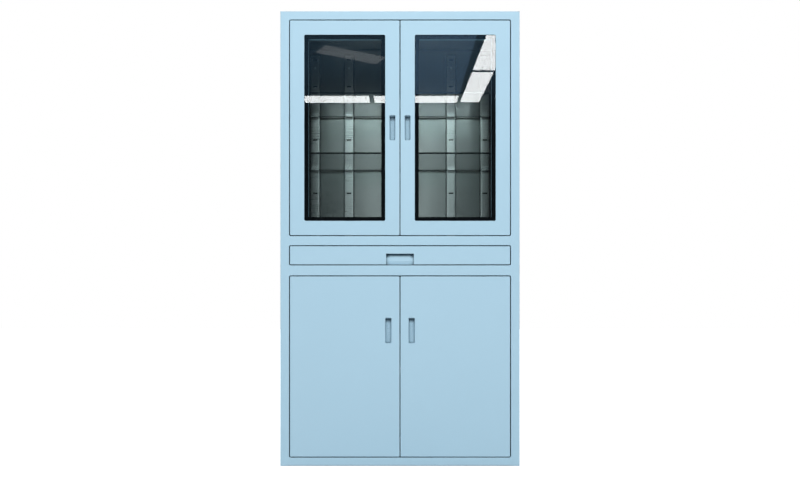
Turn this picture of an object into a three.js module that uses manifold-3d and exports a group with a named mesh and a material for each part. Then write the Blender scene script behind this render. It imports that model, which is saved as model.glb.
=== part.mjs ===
// Glass door medical cabinet: a folded steel carcass with two glazed doors above,
// one drawer across the middle and two steel doors below.
// Millimetres, +Z up. The origin is on the floor under the middle of the cabinet, and the doors face -Y.

import * as THREE from 'three';
import { mergeVertices } from 'three/addons/utils/BufferGeometryUtils.js';
import Module from 'manifold-3d';

const wasm = await Module();
wasm.setup();

// Overall size
const WIDTH = 900;
const DEPTH = 400;
const HEIGHT = 1710;

// Sheet, folds and clearances
const SHEET = 1;
const FOLD_RADIUS = 1.5;
const FOLD_STEPS = 2;
const CORNER_STEPS = 4;
const SEAM = 0.3;
const DOOR_GAP = 3;

// Front frame: the opening behind the glass doors takes the height that the rest leaves
const STILE_WIDTH = 33;
const STILE_DEPTH = 24;
const STILE_LIP = 12;
const TOP_RAIL = 31.5;
const UPPER_RAIL = 35;
const LOWER_RAIL = 38.5;
const BOTTOM_RAIL = 31.5;
const DRAWER_OPENING = 75;
const LOWER_OPENING = 684.5;
const RAIL_RETURN = 45;
const RAIL_LIP = 12;
const BASE_FLANGE = 30;
const BACK_FLANGE = 18;

// Doors
const DOOR_THICKNESS = 20;
const DOOR_CORNER = 4;
const DOOR_EDGE = 1.5;
const DOOR_LIP = 15;
const STIFFENER_WIDTH = 40;
const STIFFENER_FLANGE = 14;
const STIFFENER_DEPTH = 13;
const WELD = 0.3;

// Window in each upper door
const WINDOW_MARGIN = 54;
const WINDOW_CORNER = 6;
const BORDER_WIDTH = 15;
const PANE_THICKNESS = 5;
const PANE_SETBACK = 0.5;
const SEAL_THICKNESS = 1.5;

// Hinge pins
const PIN_RADIUS = 3;
const PIN_INSET = 9;
const PIN_SETBACK = 6.5;
const PIN_SHANK = 16;
const PIN_REACH = 5;
const COLLAR_RADIUS = 4.6;
const PIN_SIDES = 16;

// Recessed handle cups
const CUP_WALL = 1;
const CUP_DEPTH = 13;
const CUP_DRAFT = 3.6;
const CUP_FLANGE = 4;
const CUP_CORNER = 4.5;
const UPPER_CUP_WIDTH = 22.5;
const UPPER_CUP_HEIGHT = 94;
const UPPER_CUP_INSET = 27;
const LOWER_CUP_WIDTH = 24;
const LOWER_CUP_HEIGHT = 96.5;
const LOWER_CUP_INSET = 42.5;
const LOWER_CUP_DROP = 204;

// Drawer and its pull
const PULL_WIDTH = 104.5;
const PULL_HEIGHT = 41;
const PULL_DEPTH = 13;
const PULL_LEAN = 3;
const PULL_SILL = 13;
const DRAWER_LIP = 16;
const BOX_DEPTH = 330;
const BOX_HEIGHT = 54;
const BOX_LIFT = 5;
const BOX_RIM = 9;

// Telescopic slides
const SLIDE_THICKNESS = 12.7;
const SLIDE_HEIGHT = 45;
const SLIDE_LENGTH = 350;
const SLIDE_SHEET = 1.2;
const SLIDE_RUN = 0.4;
const SLIDE_CLEAR = 4;
const SLIDE_LAP = 1.6;
const BRACKET_HEIGHT = 30;
const BRACKET_LENGTH = 26;

// Glass compartment
const SHELF_COUNT = 2;
const SLOT_COUNT_TO_FIRST_SHELF = 2;
const SLOT_COUNT_BETWEEN_SHELVES = 2;
const SHELF_GLASS = 6;
const SHELF_EDGE = 0.8;
const SHELF_CORNER = 4;
const SHELF_SETBACK = 45;
const SHELF_CLEAR = 5;
const UPRIGHT_WIDTH = 38;
const UPRIGHT_DEPTH = 12;
const UPRIGHT_INNER = 220;
const UPRIGHT_OUTER_INSET = 84;
const SLOT_WIDTH = 20;
const SLOT_HEIGHT = 6;
const SLOT_FIRST = 105;
const SLOT_PITCH = 115;
const CLIP_SHEET = 1;
const CLIP_WIDTH = 30;
const CLIP_REACH = 22;
const CLIP_HANG = 17;
const CLIP_RISE = 8;
const STRIP_DROP = 40;
const TAB_WIDTH = 18;
const HOOK_SHEET = 1.5;
const HOOK_DROP = 4;
const HOOK_CLEAR = 2;

// Lower compartment
const STEEL_SHELF_HEIGHT = 330;
const STEEL_SHELF_SETBACK = 40;
const STEEL_SHELF_FOLD = 25;
const STEEL_SHELF_RETURN = 12;
const LEDGE_DROP = 18;
const LEDGE_REACH = 16;

// Magnetic catches
const CATCH_WIDTH = 64;
const CATCH_HEIGHT = 14;
const CATCH_DEPTH = 20;
const CATCH_CHAMFER = 3;

// Planes and levels that follow from the sizes above
const FRONT = -DEPTH / 2;
const BACK = DEPTH / 2;
const SIDE = WIDTH / 2;
const WALL = SIDE - SHEET - SEAM;
const STILE_EDGE = SIDE - STILE_WIDTH;
const RAIL_END = STILE_EDGE - SEAM;
const SIDE_TOP = HEIGHT - SHEET - SEAM;
const LOWER_FLOOR = BOTTOM_RAIL;
const LOWER_TOP = LOWER_FLOOR + LOWER_OPENING;
const DRAWER_FLOOR = LOWER_TOP + LOWER_RAIL;
const DRAWER_TOP = DRAWER_FLOOR + DRAWER_OPENING;
const UPPER_FLOOR = DRAWER_TOP + UPPER_RAIL;
const UPPER_TOP = HEIGHT - TOP_RAIL;
const BACK_PANEL_REAR = BACK - SHEET - SEAM;
const BACK_PANEL_FRONT = BACK_PANEL_REAR - SHEET;
const DECK_REAR = BACK_PANEL_FRONT - SEAM;
const UPRIGHT_FRONT = DECK_REAR - UPRIGHT_DEPTH;
const DOOR_BACK = FRONT + DOOR_THICKNESS;
const PIVOT_X = STILE_EDGE - DOOR_GAP - PIN_INSET;
const PIVOT_Y = FRONT + PIN_SETBACK;
const PIN_HOLE = PIN_RADIUS + SEAM;
const SLIDE_OUTSIDE = STILE_EDGE - SLIDE_CLEAR;
const SLIDE_INSIDE = SLIDE_OUTSIDE - SLIDE_THICKNESS;
const BOX_HALF = SLIDE_INSIDE - SEAM;
const BOX_FRONT = DOOR_BACK + SEAM;
const BOX_REAR = BOX_FRONT + BOX_DEPTH;
const BOX_BOTTOM = DRAWER_FLOOR + BOX_LIFT;
const BOX_TOP = BOX_BOTTOM + BOX_HEIGHT;
const SLIDE_LEVEL = BOX_BOTTOM + BOX_HEIGHT / 2;
const SLIDE_FRONT = BOX_FRONT + SEAM;
// Longer than any piece, for cuts that run right through
const THROUGH = WIDTH + DEPTH + HEIGHT;

// Solids for cutting and joining

function toSolid(geometry) {
  const bare = new THREE.BufferGeometry();
  bare.setAttribute('position', geometry.getAttribute('position'));
  bare.setIndex(geometry.index);
  const merged = mergeVertices(bare);
  return new wasm.Manifold(new wasm.Mesh({
    numProp: 3,
    vertProperties: Float32Array.from(merged.getAttribute('position').array),
    triVerts: Uint32Array.from(merged.index.array),
  }));
}

function toGeometry(solid) {
  const { vertProperties, triVerts } = solid.getMesh();
  const geometry = new THREE.BufferGeometry();
  geometry.setAttribute('position', new THREE.BufferAttribute(vertProperties, 3));
  geometry.setIndex(new THREE.BufferAttribute(triVerts, 1));
  geometry.computeVertexNormals();
  return geometry;
}

function block(x0, x1, y0, y1, z0, z1) {
  const box = new THREE.BoxGeometry(x1 - x0, y1 - y0, z1 - z0);
  return toSolid(box.translate((x0 + x1) / 2, (y0 + y1) / 2, (z0 + z1) / 2));
}

function cylinder(radius, x, y, z0, z1) {
  const tube = new THREE.CylinderGeometry(radius, radius, z1 - z0, PIN_SIDES);
  return toSolid(tube.rotateX(Math.PI / 2).translate(x, y, (z0 + z1) / 2));
}

// Extrusions. An outline is drawn in YZ and pulled along X, drawn in XY and pulled along Z,
// or drawn in XZ and pulled from the back to the front.

const X_AXIS = new THREE.Vector3(1, 0, 0);
const Y_AXIS = new THREE.Vector3(0, 1, 0);
const Z_AXIS = new THREE.Vector3(0, 0, 1);
const ALONG_X = new THREE.Matrix4().makeBasis(Y_AXIS, Z_AXIS, X_AXIS);
const ALONG_Y = new THREE.Matrix4().makeBasis(X_AXIS, Z_AXIS, Y_AXIS.clone().negate());

function pull(outline, length, edge = 0) {
  const shape = outline instanceof THREE.Shape ? outline : new THREE.Shape(outline);
  return new THREE.ExtrudeGeometry(shape, {
    depth: length - 2 * edge,
    bevelEnabled: edge > 0,
    bevelThickness: edge,
    bevelSize: edge,
    bevelOffset: -edge,
    bevelSegments: FOLD_STEPS,
    curveSegments: CORNER_STEPS,
  }).translate(0, 0, edge);
}

function alongX(outline, x0, x1) {
  return toSolid(pull(outline, x1 - x0).applyMatrix4(ALONG_X).translate(x0, 0, 0));
}

function alongZ(outline, z0, z1, edge) {
  return toSolid(pull(outline, z1 - z0, edge).translate(0, 0, z0));
}

function alongY(outline, y0, y1, edge) {
  return toSolid(pull(outline, y1 - y0, edge).applyMatrix4(ALONG_Y).translate(0, y1, 0));
}

// Both faces of a sheet folded along a path.
// The path is one face, and the sheet lies on its left (1) or right (-1).

function foldFaces(path, hand, thickness) {
  const points = path.map(([u, v]) => new THREE.Vector2(u, v));
  const headings = points.slice(1).map((point, i) => point.clone().sub(points[i]).normalize());
  const leftOf = (heading) => new THREE.Vector2(-heading.y, heading.x);
  const face = [points[0]];
  const other = [points[0].clone().addScaledVector(leftOf(headings[0]), hand * thickness)];
  for (let i = 1; i < points.length - 1; i += 1) {
    const [before, after] = [headings[i - 1], headings[i]];
    const bend = Math.acos(THREE.MathUtils.clamp(before.dot(after), -1, 1));
    const turn = Math.sign(before.cross(after));
    const radius = FOLD_RADIUS + turn * hand * thickness / 2;
    const start = points[i].clone().addScaledVector(before, -radius * Math.tan(bend / 2));
    const centre = start.clone().addScaledVector(leftOf(before), turn * radius);
    for (let step = 0; step <= FOLD_STEPS; step += 1) {
      const spoke = leftOf(before).multiplyScalar(-turn);
      spoke.rotateAround(new THREE.Vector2(), turn * bend * step / FOLD_STEPS);
      face.push(centre.clone().addScaledVector(spoke, radius));
      other.push(centre.clone().addScaledVector(spoke, radius - turn * hand * thickness));
    }
  }
  face.push(points.at(-1));
  other.push(points.at(-1).clone().addScaledVector(leftOf(headings.at(-1)), hand * thickness));
  return [face, other];
}

function folded(path, hand = 1, thickness = SHEET) {
  const [face, other] = foldFaces(path, hand, thickness);
  return face.concat(other.reverse());
}

// Front views: rectangles with round corners

function rectangle(x0, x1, z0, z1) {
  return { x0, x1, z0, z1 };
}

function inset({ x0, x1, z0, z1 }, margin) {
  return rectangle(x0 + margin, x1 - margin, z0 + margin, z1 - margin);
}

function rounded({ x0, x1, z0, z1 }, radius) {
  const shape = new THREE.Shape();
  shape.absarc(x1 - radius, z0 + radius, radius, -Math.PI / 2, 0);
  shape.absarc(x1 - radius, z1 - radius, radius, 0, Math.PI / 2);
  shape.absarc(x0 + radius, z1 - radius, radius, Math.PI / 2, Math.PI);
  shape.absarc(x0 + radius, z0 + radius, radius, Math.PI, Math.PI * 1.5);
  return shape;
}

function sharp({ x0, x1, z0, z1 }) {
  return [[x0, z0], [x1, z0], [x1, z1], [x0, z1]].map(([x, z]) => new THREE.Vector2(x, z));
}

// A solid between a front outline and a smaller one behind it

function drafted(frontOutline, backOutline, y0, y1) {
  const front = frontOutline.extractPoints(CORNER_STEPS).shape;
  const back = backOutline.extractPoints(CORNER_STEPS).shape;
  const count = front.length;
  const positions = [];
  front.forEach((point) => positions.push(point.x, y0, point.y));
  back.forEach((point) => positions.push(point.x, y1, point.y));
  const faces = THREE.ShapeUtils.triangulateShape(front, []);
  const index = faces.flat();
  faces.forEach(([a, b, c]) => index.push(count + c, count + b, count + a));
  for (let i = 0; i < count; i += 1) {
    const next = (i + 1) % count;
    index.push(count + i, count + next, next, count + i, next, i);
  }
  const geometry = new THREE.BufferGeometry();
  geometry.setAttribute('position', new THREE.Float32BufferAttribute(positions, 3));
  geometry.setIndex(index);
  return toSolid(geometry);
}

// Carcass

function sidePanel() {
  const path = [
    [STILE_EDGE + STILE_LIP, FRONT + STILE_DEPTH],
    [STILE_EDGE, FRONT + STILE_DEPTH],
    [STILE_EDGE, FRONT],
    [SIDE, FRONT],
    [SIDE, BACK],
    [SIDE - BACK_FLANGE, BACK],
  ];
  return alongZ(folded(path), 0, SIDE_TOP);
}

function cutBothSides(solid, makeCut) {
  return [-1, 1].reduce((rest, side) => rest.subtract(makeCut(side)), solid);
}

function outerBlock(side, inner, y0, y1, z0, z1) {
  return side > 0 ? block(inner, THROUGH, y0, y1, z0, z1) : block(-THROUGH, -inner, y0, y1, z0, z1);
}

function clearOfStiles(solid) {
  const depth = FRONT + STILE_DEPTH + SEAM;
  return cutBothSides(solid, (side) => outerBlock(side, RAIL_END, -THROUGH, depth, -THROUGH, THROUGH));
}

function pinHoles(solid, level) {
  const [low, high] = [level - 2 * SHEET, level + 2 * SHEET];
  return cutBothSides(solid, (side) => cylinder(PIN_HOLE, side * PIVOT_X, PIVOT_Y, low, high));
}

function topPanel() {
  const path = [
    [FRONT + RAIL_RETURN, UPPER_TOP + RAIL_LIP],
    [FRONT + RAIL_RETURN, UPPER_TOP],
    [FRONT, UPPER_TOP],
    [FRONT, HEIGHT],
    [BACK, HEIGHT],
    [BACK, HEIGHT - BACK_FLANGE],
  ];
  const sheet = alongX(folded(path, -1), -SIDE, SIDE);
  const underside = HEIGHT - SHEET;
  const ends = (side) => outerBlock(side, RAIL_END, -THROUGH, THROUGH, -THROUGH, underside);
  return pinHoles(cutBothSides(sheet, ends), UPPER_TOP);
}

function deck(floor, underside) {
  const path = [
    [DECK_REAR, floor - BACK_FLANGE],
    [DECK_REAR, floor],
    [FRONT, floor],
    [FRONT, underside],
    [FRONT + RAIL_RETURN, underside],
    [FRONT + RAIL_RETURN, underside + RAIL_LIP],
  ];
  const sheet = alongX(folded(path), -WALL, WALL);
  const ends = (side) => outerBlock(side, RAIL_END, -THROUGH, THROUGH, -THROUGH, floor - SHEET);
  return clearOfStiles(cutBothSides(sheet, ends));
}

function basePanel() {
  const path = [
    [BACK - BASE_FLANGE, 0],
    [BACK, 0],
    [BACK, LOWER_FLOOR],
    [FRONT, LOWER_FLOOR],
    [FRONT, 0],
    [FRONT + BASE_FLANGE, 0],
  ];
  const sheet = alongX(folded(path), -WALL, WALL);
  const flangeEdge = SIDE - BACK_FLANGE - SEAM;
  const flangeFace = BACK - SHEET - SEAM;
  const corners = (side) => outerBlock(side, flangeEdge, flangeFace, THROUGH, -THROUGH, THROUGH);
  return pinHoles(clearOfStiles(cutBothSides(sheet, corners)), LOWER_FLOOR);
}

function backPanel() {
  const half = WALL - FOLD_RADIUS;
  const [low, high] = [LOWER_FLOOR + SEAM, SIDE_TOP - FOLD_RADIUS];
  return block(-half, half, BACK_PANEL_FRONT, BACK_PANEL_REAR, low, high);
}

// Glass compartment

function slotLevel(slot) {
  return UPPER_FLOOR + SLOT_FIRST + slot * SLOT_PITCH;
}

function upright(x) {
  const [left, right] = [x - UPRIGHT_WIDTH / 2, x + UPRIGHT_WIDTH / 2];
  const path = [[left, DECK_REAR], [left, UPRIGHT_FRONT], [right, UPRIGHT_FRONT], [right, DECK_REAR]];
  let channel = alongZ(folded(path), UPPER_FLOOR + SEAM, UPPER_TOP);
  for (let slot = 0; slotLevel(slot) + SLOT_HEIGHT < UPPER_TOP; slot += 1) {
    const [low, high] = [slotLevel(slot) - SLOT_HEIGHT / 2, slotLevel(slot) + SLOT_HEIGHT / 2];
    const depth = UPRIGHT_FRONT + 2 * SHEET;
    channel = channel.subtract(block(x - SLOT_WIDTH / 2, x + SLOT_WIDTH / 2, FRONT, depth, low, high));
  }
  return channel;
}

function glassShelf(level) {
  const half = WALL - SHELF_CLEAR;
  const plan = rectangle(-half, half, FRONT + SHELF_SETBACK, UPRIGHT_FRONT - SHELF_CLEAR);
  return alongZ(rounded(plan, SHELF_CORNER), level, level + SHELF_GLASS, SHELF_EDGE);
}

// A clip hangs by its hook in a slot of the upright, and its foot reaches under the shelf

function backClip(x, level) {
  const rear = UPRIGHT_FRONT - SEAM;
  const slot = level + CLIP_HANG;
  const foot = level - SEAM - CLIP_SHEET;
  const path = [[rear, slot + CLIP_RISE], [rear, foot], [rear - CLIP_REACH, foot]];
  const plate = alongX(folded(path, -1, CLIP_SHEET), x - CLIP_WIDTH / 2, x + CLIP_WIDTH / 2);
  const half = SLOT_WIDTH / 2 - SEAM;
  const high = slot + SLOT_HEIGHT / 2 - HOOK_CLEAR;
  const low = slot - SLOT_HEIGHT / 2 + SEAM;
  const web = UPRIGHT_FRONT + SHEET + SEAM;
  const neck = block(x - half, x + half, rear - CLIP_SHEET / 2, web + HOOK_SHEET, low, high);
  const hook = block(x - half, x + half, web, web + HOOK_SHEET, low - HOOK_DROP, high);
  return plate.add(neck).add(hook);
}

// A strip on the side wall, with a tab cut and bent out of it under each shelf

function sideSupport(levels) {
  const y = FRONT + SHELF_SETBACK + CLIP_WIDTH;
  const face = WALL - CLIP_SHEET;
  const [near, far] = [y - TAB_WIDTH / 2, y + TAB_WIDTH / 2];
  const [low, high] = [levels[0] - STRIP_DROP, levels.at(-1) - SEAM];
  const strip = block(face, WALL, y - CLIP_WIDTH / 2, y + CLIP_WIDTH / 2, low, high);
  return levels.reduce((rest, level) => {
    const top = level - SEAM;
    const under = top - CLIP_SHEET;
    const tab = block(WALL - CLIP_REACH, WALL, near, far, under, top);
    const cutOut = block(face - SHEET, WALL + SHEET, near, far, under - CLIP_REACH, under);
    return rest.subtract(cutOut).add(tab);
  }, strip);
}

// Lower compartment

const STEEL_SHELF_LEVEL = LOWER_FLOOR + STEEL_SHELF_HEIGHT;
const STEEL_SHELF_FRONT = FRONT + STEEL_SHELF_SETBACK;
const STEEL_SHELF_REAR = BACK_PANEL_FRONT - SHELF_CLEAR;

function steelShelf() {
  const low = STEEL_SHELF_LEVEL - STEEL_SHELF_FOLD;
  const path = [
    [STEEL_SHELF_REAR, low],
    [STEEL_SHELF_REAR, STEEL_SHELF_LEVEL],
    [STEEL_SHELF_FRONT, STEEL_SHELF_LEVEL],
    [STEEL_SHELF_FRONT, low],
    [STEEL_SHELF_FRONT + STEEL_SHELF_RETURN, low],
  ];
  return alongX(folded(path), -WALL, WALL);
}

function shelfLedge() {
  const top = STEEL_SHELF_LEVEL - SHEET - SEAM;
  const path = [[WALL, top - LEDGE_DROP], [WALL, top], [WALL - LEDGE_REACH, top]];
  const start = STEEL_SHELF_FRONT + STEEL_SHELF_RETURN + SHELF_CLEAR;
  return alongY(folded(path), start, STEEL_SHELF_REAR - SHELF_CLEAR);
}

// Magnetic catch under a rail, behind the meeting edges of two doors

function catchBlock(railUnderside) {
  const top = railUnderside - SEAM;
  const bottom = top - CATCH_HEIGHT;
  const front = DOOR_BACK + SEAM;
  const rear = front + CATCH_DEPTH;
  const outline = [
    [front, bottom],
    [rear - CATCH_CHAMFER, bottom],
    [rear, bottom + CATCH_CHAMFER],
    [rear, top],
    [front, top],
  ].map(([y, z]) => new THREE.Vector2(y, z));
  return alongX(outline, -CATCH_WIDTH / 2, CATCH_WIDTH / 2);
}

// Door pieces, drawn for the right-hand door

function doorFace(floor, top) {
  return rectangle(DOOR_GAP / 2, STILE_EDGE - DOOR_GAP, floor + DOOR_GAP, top - DOOR_GAP);
}

function panBody(face) {
  const body = alongY(rounded(face, DOOR_CORNER), FRONT, DOOR_BACK, DOOR_EDGE);
  const inside = rounded(inset(face, SHEET), DOOR_CORNER - SHEET);
  const hollow = alongY(inside, FRONT + SHEET, DOOR_BACK - SHEET);
  return { body, hollow };
}

function doorPinHoles(skin, { z0, z1 }) {
  const hole = (z) => cylinder(PIN_HOLE, PIVOT_X, PIVOT_Y, z - 2 * SHEET, z + 2 * SHEET);
  return skin.subtract(hole(z0)).subtract(hole(z1));
}

function hingePin(doorEdge, way) {
  const profile = [
    [0, -PIN_SHANK],
    [PIN_RADIUS, -PIN_SHANK],
    [PIN_RADIUS, SEAM],
    [COLLAR_RADIUS, SEAM],
    [COLLAR_RADIUS, DOOR_GAP - SEAM],
    [PIN_RADIUS, DOOR_GAP - SEAM],
    [PIN_RADIUS, DOOR_GAP + SHEET + PIN_REACH],
    [0, DOOR_GAP + SHEET + PIN_REACH],
  ].map(([radius, height]) => new THREE.Vector2(radius, height));
  const turned = new THREE.LatheGeometry(profile, PIN_SIDES);
  turned.rotateX(way * Math.PI / 2).translate(PIVOT_X, PIVOT_Y, doorEdge);
  return toSolid(turned);
}

function cupMouth(x, z, width, height) {
  return rectangle(x - width / 2, x + width / 2, z - height / 2, z + height / 2);
}

function cupHole(mouth) {
  return alongY(rounded(mouth, CUP_CORNER), FRONT - SHEET, FRONT + 2 * SHEET);
}

function handleCup(mouth) {
  const seat = FRONT + SHEET + SEAM;
  const floor = FRONT + CUP_DEPTH;
  const draw = (margin) => rounded(inset(mouth, margin), CUP_CORNER);
  const flange = alongY(draw(-CUP_FLANGE), seat, seat + CUP_WALL);
  const outside = drafted(draw(-CUP_WALL), draw(CUP_DRAFT - CUP_WALL), seat, floor + CUP_WALL);
  const inside = drafted(draw(0), draw(CUP_DRAFT), FRONT, floor);
  return flange.add(outside).subtract(inside);
}

// Upper door: a closed box section round the window, with a rebate that holds seal and pane

const UPPER_FACE = doorFace(UPPER_FLOOR, UPPER_TOP);
const GLAZING = inset(UPPER_FACE, WINDOW_MARGIN);
const SIGHT = inset(GLAZING, BORDER_WIDTH);
const SEAL_FRONT = FRONT + PANE_SETBACK + PANE_THICKNESS + SEAM;
const LEDGE_FRONT = SEAL_FRONT + SEAL_THICKNESS + SEAM;
const UPPER_MOUTH = cupMouth(
  UPPER_FACE.x0 + UPPER_CUP_INSET,
  (UPPER_FACE.z0 + UPPER_FACE.z1) / 2,
  UPPER_CUP_WIDTH,
  UPPER_CUP_HEIGHT,
);

function upperDoorSkin() {
  const { body, hollow } = panBody(UPPER_FACE);
  const rebateWall = alongY(rounded(inset(GLAZING, -SHEET), WINDOW_CORNER), FRONT, LEDGE_FRONT + SHEET);
  const sightWall = alongY(sharp(inset(SIGHT, -SHEET)), FRONT, DOOR_BACK);
  const rebate = alongY(rounded(GLAZING, WINDOW_CORNER), FRONT - SHEET, LEDGE_FRONT);
  const sight = alongY(sharp(SIGHT), FRONT - SHEET, DOOR_BACK + SHEET);
  const skin = body
    .subtract(hollow.subtract(rebateWall).subtract(sightWall))
    .subtract(rebate)
    .subtract(sight)
    .subtract(cupHole(UPPER_MOUTH));
  return doorPinHoles(skin, UPPER_FACE);
}

function windowSeal() {
  const edge = rounded(inset(GLAZING, SEAM), WINDOW_CORNER - SEAM);
  const ring = alongY(edge, SEAL_FRONT, SEAL_FRONT + SEAL_THICKNESS);
  return ring.subtract(alongY(sharp(SIGHT), FRONT, DOOR_BACK));
}

function windowPane() {
  const edge = rounded(inset(GLAZING, SEAM), WINDOW_CORNER - SEAM);
  const front = FRONT + PANE_SETBACK;
  return alongY(edge, front, front + PANE_THICKNESS, PANE_SETBACK);
}

// Lower door: an open-backed pan with a hat-section stiffener welded down its middle

const LOWER_FACE = doorFace(LOWER_FLOOR, LOWER_TOP);
const LOWER_MOUTH = cupMouth(
  LOWER_FACE.x0 + LOWER_CUP_INSET,
  LOWER_FACE.z1 - LOWER_CUP_DROP,
  LOWER_CUP_WIDTH,
  LOWER_CUP_HEIGHT,
);

function lowerDoorSkin() {
  const { body, hollow } = panBody(LOWER_FACE);
  const mouth = alongY(sharp(inset(LOWER_FACE, DOOR_LIP)), FRONT + SHEET, DOOR_BACK + SHEET);
  const middle = (LOWER_FACE.x0 + LOWER_FACE.x1) / 2;
  const [left, right] = [middle - STIFFENER_WIDTH / 2, middle + STIFFENER_WIDTH / 2];
  const seat = FRONT + SHEET - WELD;
  const crown = seat + STIFFENER_DEPTH;
  const path = [
    [left - STIFFENER_FLANGE, seat],
    [left, seat],
    [left, crown],
    [right, crown],
    [right, seat],
    [right + STIFFENER_FLANGE, seat],
  ];
  const stiffener = alongZ(folded(path), LOWER_FACE.z0 + DOOR_LIP, LOWER_FACE.z1 - DOOR_LIP);
  const skin = body.subtract(hollow).subtract(mouth).add(stiffener).subtract(cupHole(LOWER_MOUTH));
  return doorPinHoles(skin, LOWER_FACE);
}

// Drawer

const DRAWER_FACE = rectangle(
  DOOR_GAP - STILE_EDGE,
  STILE_EDGE - DOOR_GAP,
  DRAWER_FLOOR + DOOR_GAP,
  DRAWER_TOP - DOOR_GAP,
);
const PULL_BACK = FRONT + PULL_DEPTH;

function drawerFront() {
  const { body, hollow } = panBody(DRAWER_FACE);
  const mouth = alongY(sharp(inset(DRAWER_FACE, DRAWER_LIP)), FRONT + SHEET, DOOR_BACK + SHEET);
  const half = PULL_WIDTH / 2;
  const bottom = DRAWER_FACE.z0;
  const wide = half + CUP_WALL + SEAM;
  const under = bottom - SHEET;
  const cutOut = block(-half, half, FRONT - SHEET, FRONT + 2 * SHEET, under, bottom + PULL_HEIGHT);
  const notch = block(-wide, wide, FRONT + SHEET, DOOR_BACK + SHEET, under, bottom + DRAWER_LIP);
  return body.subtract(hollow).subtract(mouth).subtract(cutOut).subtract(notch);
}

function drawerPull() {
  const seat = FRONT + SHEET + SEAM;
  const bottom = DRAWER_FACE.z0;
  const roof = bottom + PULL_HEIGHT;
  const path = [
    [seat, roof],
    [PULL_BACK, roof],
    [PULL_BACK - PULL_LEAN, bottom + PULL_SILL],
    [PULL_BACK, bottom],
  ];
  const half = PULL_WIDTH / 2;
  const shell = alongX(folded(path, 1, CUP_WALL), -half - CUP_WALL, half + CUP_WALL);
  const [, outside] = foldFaces(path, 1, CUP_WALL);
  const cheek = [new THREE.Vector2(seat, bottom), ...outside];
  return shell
    .add(alongX(cheek, -half - CUP_WALL, -half))
    .add(alongX(cheek, half, half + CUP_WALL));
}

// Drawer box: its rims fold outwards, and at the sides they cover the slides

const BOX_INSIDE = BOX_HALF - SHEET - SEAM;
const RIM_LEVEL = BOX_TOP - SHEET;

function drawerBottom() {
  return block(-BOX_INSIDE, BOX_INSIDE, BOX_FRONT, BOX_REAR, BOX_BOTTOM, BOX_BOTTOM + SHEET);
}

function drawerBack() {
  const path = [
    [BOX_REAR, BOX_BOTTOM + SHEET + SEAM],
    [BOX_REAR, RIM_LEVEL],
    [BOX_REAR + BOX_RIM, RIM_LEVEL],
  ];
  return alongX(folded(path), -BOX_INSIDE, BOX_INSIDE);
}

function drawerSide() {
  const path = [[BOX_HALF, BOX_BOTTOM], [BOX_HALF, RIM_LEVEL], [BOX_HALF + BOX_RIM, RIM_LEVEL]];
  return alongY(folded(path), BOX_FRONT, BOX_REAR);
}

// Telescopic slide, right hand: the drawer member runs inside the middle one,
// and that in the cabinet member

const SLIDE_STEP = SLIDE_SHEET + SLIDE_RUN;

function slideChannel(web, tip, height) {
  const [low, high] = [SLIDE_LEVEL - height / 2, SLIDE_LEVEL + height / 2];
  const path = [[tip, low], [web, low], [web, high], [tip, high]];
  const outline = folded(path, Math.sign(web - tip), SLIDE_SHEET);
  return alongY(outline, SLIDE_FRONT, SLIDE_FRONT + SLIDE_LENGTH);
}

function slideDrawer() {
  return slideChannel(SLIDE_INSIDE, SLIDE_OUTSIDE - 2 * SLIDE_STEP, SLIDE_HEIGHT - 4 * SLIDE_STEP);
}

function slideMiddle() {
  const web = SLIDE_OUTSIDE - SLIDE_STEP;
  return slideChannel(web, SLIDE_INSIDE + SLIDE_LAP, SLIDE_HEIGHT - 2 * SLIDE_STEP);
}

function slideCabinet() {
  const channel = slideChannel(SLIDE_OUTSIDE, SLIDE_INSIDE + SLIDE_LAP, SLIDE_HEIGHT);
  const [low, high] = [SLIDE_LEVEL - BRACKET_HEIGHT / 2, SLIDE_LEVEL + BRACKET_HEIGHT / 2];
  const seat = SLIDE_OUTSIDE - WELD;
  const foot = WALL - SHEET;
  const bracket = (y) => {
    const bend = y + BRACKET_LENGTH;
    const path = [[seat, y], [seat, bend], [foot, bend], [foot, bend + BRACKET_LENGTH]];
    return alongZ(folded(path, -1), low, high);
  };
  const first = FRONT + STILE_DEPTH + BRACKET_LENGTH;
  const last = SLIDE_FRONT + SLIDE_LENGTH - 2 * BRACKET_LENGTH;
  return channel.add(bracket(first)).add(bracket(last));
}

// Finishes: colour, roughness, metalness

const FINISHES = {
  paint: ['#b8dcf0', 0.45, 0],
  liner: ['#9aa5a6', 0.4, 0.6],
  steel: ['#b9bdbe', 0.35, 0.9],
  zinc: ['#a9adae', 0.45, 0.8],
  glass: ['#dfeeea', 0.05, 0],
  seal: ['#05070a', 0.5, 0],
  plastic: ['#d9dcdc', 0.5, 0],
};

function mesh(name, solid, finish) {
  const [color, roughness, metalness] = FINISHES[finish];
  const material = new THREE.MeshStandardMaterial({ color, roughness, metalness });
  if (finish === 'glass') {
    material.transparent = true;
    material.opacity = 0.3;
  }
  const piece = new THREE.Mesh(toGeometry(solid), material);
  piece.name = name;
  return piece;
}

// Assembly

const cabinet = new THREE.Group();
const shelfLevels = Array.from(
  { length: SHELF_COUNT },
  (_, i) => slotLevel(SLOT_COUNT_TO_FIRST_SHELF + i * SLOT_COUNT_BETWEEN_SHELVES) - CLIP_HANG,
);

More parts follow.
